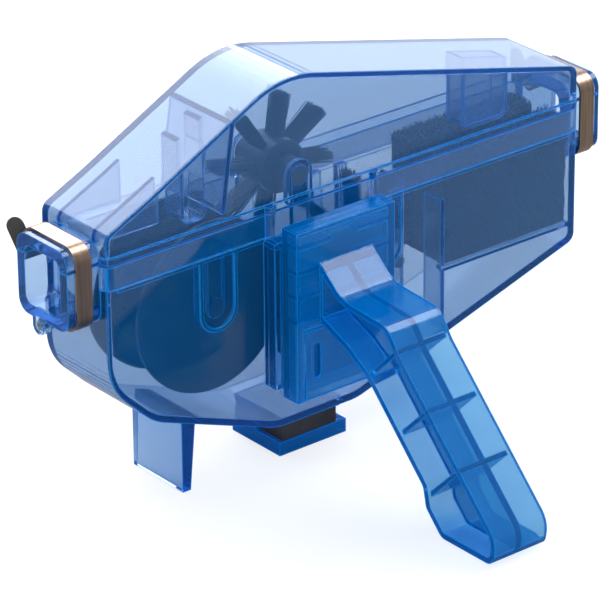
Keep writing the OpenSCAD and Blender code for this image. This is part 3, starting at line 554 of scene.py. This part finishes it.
def open_cell_foam():
    """Dark foam whose cells are torn open where it was cut, with painted shade in the cell hollows."""
    material, tree, out = new_material("Open-cell polyurethane foam")
    where = add(tree, "ShaderNodeTexCoord").outputs["Object"]
    cells = add(tree, "ShaderNodeTexVoronoi", {"Vector": where, "Scale": 1 / CELL}, feature="SMOOTH_F1")
    walls = add(tree, "ShaderNodeTexNoise", {"Vector": where, "Scale": 1 / CELL_WALL, "Detail": 3.0})
    depth = add(tree, "ShaderNodeMath", {0: cells.outputs["Distance"], 1: walls.outputs["Fac"]},
                operation="ADD")
    skin = add(tree, "ShaderNodeBump", {"Strength": 0.9, "Distance": CELL_DEPTH, "Height": depth.outputs[0]})
    # Painted shade: where the bump sinks into a cell, its colour is painted darker than the cell walls
    colour = add(tree, "ShaderNodeValToRGB", {"Fac": cells.outputs["Distance"]},
                 stops=[(0.1, "#0E1116"), (0.6, "#262B33")])
    shader = add(tree, "ShaderNodeBsdfPrincipled", {
        "Base Color": colour.outputs["Color"],
        "Roughness": 0.92, "Sheen Weight": 0.1, "Sheen Roughness": 0.6, "Normal": skin.outputs["Normal"]})
    tree.links.new(shader.outputs[0], out.inputs["Surface"])
    return material


foam = open_cell_foam()
print("foam:", foam.name)


# %% The block with its soft corners and sunken faces
SMALL_FACE = 0.8 * MM
# The sizes of the waves, and how far in millimetres each rises and falls about the mean depth
BROAD_WAVES, BROAD_DEPTH = [9 * MM, 5 * MM], 0.16
TORN_WAVES, TORN_DEPTH = [2.6 * MM, 2.1 * MM], 0.14
MEAN_DEPTH = 0.3


def ripples(p, sizes, seed):
    """A smooth random field: for each size, the product of sines along three random directions."""
    rng = np.random.default_rng(seed)
    total = np.zeros(len(p))
    for size in sizes:
        directions = rng.normal(size=(3, 3))
        directions /= np.linalg.norm(directions, axis=1, keepdims=True)
        waves = np.sin(p @ directions.T * (2 * np.pi / size) + rng.uniform(0, 6.28, 3))
        total += waves.prod(axis=1)
    return total


foam_mesh = frame["nodes"]["sponge"].data.copy()
shape = bmesh.new()
shape.from_mesh(foam_mesh)
bmesh.ops.remove_doubles(shape, verts=shape.verts, dist=1e-6)
shape.to_mesh(foam_mesh)
shape.free()
block = bpy.data.objects.new("foam_block", foam_mesh)
scene.collection.objects.link(block)
cut = block.modifiers.new("small faces", "REMESH")
cut.mode, cut.voxel_size = "VOXEL", SMALL_FACE
soften = block.modifiers.new("soft corners", "SMOOTH")
soften.factor, soften.iterations = 0.5, 3
bpy.context.view_layer.update()
sponge_mesh = bpy.data.meshes.new_from_object(block.evaluated_get(bpy.context.evaluated_depsgraph_get()))
bpy.data.objects.remove(block)
points = np.empty(len(sponge_mesh.vertices) * 3, np.float32)
normals = np.empty_like(points)
sponge_mesh.vertices.foreach_get("co", points)
sponge_mesh.vertices.foreach_get("normal", normals)
points, normals = points.reshape(-1, 3).astype(float), normals.reshape(-1, 3)
depth = BROAD_DEPTH * ripples(points, BROAD_WAVES, 5) + TORN_DEPTH * ripples(points, TORN_WAVES, 6)
depth -= MEAN_DEPTH
points += normals * (np.minimum(depth, 0) * MM)[:, None]
sponge_mesh.vertices.foreach_set("co", points.astype(np.float32).ravel())
print("block has", len(points), "points, the deepest sunk by", round(-depth.min(), 2), "mm")

# %% Fibres on the top, and the finished sponge
# Torn cell walls stand up from the cut top as short fibres
FIBRES, FIBRE_R, FIBRE_ROOT, FIBRE_LEAN = 2200, 0.14 * MM, 0.2 * MM, 0.35
FIBRE_LENGTHS = (0.6 * MM, 1.3 * MM)
TOP_NORMAL_Z = 0.6
rng = np.random.default_rng(7)
top = rng.permutation(np.flatnonzero(normals[:, 2] > TOP_NORMAL_Z))[:FIBRES]
lean = normals[top] + rng.normal(0, FIBRE_LEAN, (len(top), 3))
length = rng.uniform(*FIBRE_LENGTHS, (len(top), 1))
fuzz_points, fuzz_faces = tubes(points[top] - FIBRE_ROOT * normals[top], points[top] + length * lean,
                                np.zeros((len(top), 3)), FIBRE_R, rings=2)
fuzz = bpy.data.meshes.new("fuzz")
fuzz.from_pydata(fuzz_points.tolist(), [], fuzz_faces)
shape = bmesh.new()
shape.from_mesh(sponge_mesh)
shape.from_mesh(fuzz)
shape.to_mesh(sponge_mesh)
shape.free()
bpy.data.meshes.remove(fuzz)
sponge_mesh.materials.clear()
sponge_mesh.materials.append(foam)
sponge_mesh.name = "foam_sponge"
sponge = bpy.data.objects.new("foam_sponge", sponge_mesh)
scene.collection.objects.link(sponge)
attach(sponge, "lower_body")
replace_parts(sponge, "sponge")
print("sponge has", len(sponge_mesh.polygons), "faces")

# %% [markdown]
# ## Studio
# A white table and a white room, as in a catalogue picture. The world is pure white for the
# camera and for what is seen through the object, and darker for mirror images and as a light. A
# wide lamp behind is mirrored in the sloping roof and turns it nearly white, one beside it does
# the same for the crown, one at the right draws the white lines along the upper edges, and one in
# front opens up the near side.

# %% Table
# Half the table's side, and how far it lies under the object's feet
TABLE, TABLE_DROP = 4.0, 0.2 * MM
# The share of pure white that the camera sees in it, and that is seen through the plastic
CAMERA_WHITE, THROUGH_WHITE = 0.72, 0.2
# The share of painted dark reflection: how far the table's mirror images are mixed to dark grey
PAINTED_REFLECTION_SHARE = 0.8
table_white, tree, out = new_material("White laminate table")
top = add(tree, "ShaderNodeBsdfDiffuse", {"Color": linear("#F7F7F7")})
glow = add(tree, "ShaderNodeEmission", {"Color": linear("#FFFFFF"), "Strength": 1.0})
path = add(tree, "ShaderNodeLightPath")
through = add(tree, "ShaderNodeMath", {0: path.outputs["Is Transmission Ray"], 1: THROUGH_WHITE},
              operation="MULTIPLY")
lift = add(tree, "ShaderNodeMath", {
    0: path.outputs["Is Camera Ray"], 1: CAMERA_WHITE, 2: through.outputs[0]}, operation="MULTIPLY_ADD")
bright = add(tree, "ShaderNodeMixShader", {0: lift.outputs[0], 1: top.outputs[0], 2: glow.outputs[0]})
# Painted reflection: in mirror images the table is painted dimmer, standing in for a dark cloth
# in front of it that the scene doesn't have. A ray that went through frosted plastic counts as
# glossy too, so the transmitted ones are taken off.
painted_dark_reflection = add(tree, "ShaderNodeBsdfDiffuse", {"Color": linear("#3F3F3F")})
mirror = add(tree, "ShaderNodeMath", {
    0: path.outputs["Is Glossy Ray"], 1: path.outputs["Is Transmission Ray"]},
    operation="SUBTRACT", use_clamp=True)
mirrored = add(tree, "ShaderNodeMath", {0: mirror.outputs[0], 1: PAINTED_REFLECTION_SHARE}, operation="MULTIPLY")
laminate = add(tree, "ShaderNodeMixShader", {
    0: mirrored.outputs[0], 1: bright.outputs[0], 2: painted_dark_reflection.outputs[0]})
tree.links.new(laminate.outputs[0], out.inputs["Surface"])
floor_mesh = bpy.data.meshes.new("table")
corners = [(-TABLE, -TABLE), (TABLE, -TABLE), (TABLE, TABLE), (-TABLE, TABLE)]
floor_mesh.from_pydata([(x, y, -TABLE_DROP) for x, y in corners], [], [(0, 1, 2, 3)])
floor_mesh.materials.append(table_white)
floor = bpy.data.objects.new("table", floor_mesh)
scene.collection.objects.link(floor)
print("table:", table_white.name)

# %% Room
ROOM_LIGHT = 0.5
room = bpy.data.worlds.new("white room")
scene.world = room
room.use_nodes = True
tree = room.node_tree
tree.nodes.clear()
path = add(tree, "ShaderNodeLightPath")
seen = add(tree, "ShaderNodeMath", {
    0: path.outputs["Is Camera Ray"], 1: path.outputs["Is Transmission Ray"]}, operation="MAXIMUM")
strength = add(tree, "ShaderNodeMapRange", {"Value": seen.outputs[0], "To Min": ROOM_LIGHT, "To Max": 1.0})
white = add(tree, "ShaderNodeBackground", {
    "Color": linear("#FFFFFF"), "Strength": strength.outputs["Result"]})
add(tree, "ShaderNodeOutputWorld", {"Surface": white.outputs[0]})
print("room lights the object at", ROOM_LIGHT, "of white")


# %% Lamps
def softbox(name, place, width, height, watts):
    """A flat lamp, placed and sized in metres, that looks at the middle of the object."""
    light = bpy.data.lights.new(name, "AREA")
    light.shape, light.size, light.size_y, light.energy = "RECTANGLE", width, height, watts
    lamp = bpy.data.objects.new(name, light)
    scene.collection.objects.link(lamp)
    lamp.location = place
    lamp.rotation_euler = (Vector(place) - aim).to_track_quat("Z", "Y").to_euler()


softbox("right", (0.85, -0.15, 1.05), 0.7, 0.9, 14.0)
softbox("behind", (0.15, 0.95, 0.80), 1.5, 0.8, 20.0)
softbox("beside", (0.98, 0.93, 0.38), 1.5, 0.7, 4.2)
softbox("front", (-0.8, -1.1, 1.0), 1.0, 1.0, 9.0)
scene.view_settings.view_transform = "Standard"
# Light crosses many walls of the box before it leaves it
WALLS = 24
scene.cycles.max_bounces = WALLS
scene.cycles.transmission_bounces = WALLS
scene.cycles.transparent_max_bounces = 2 * WALLS
print("studio lit")
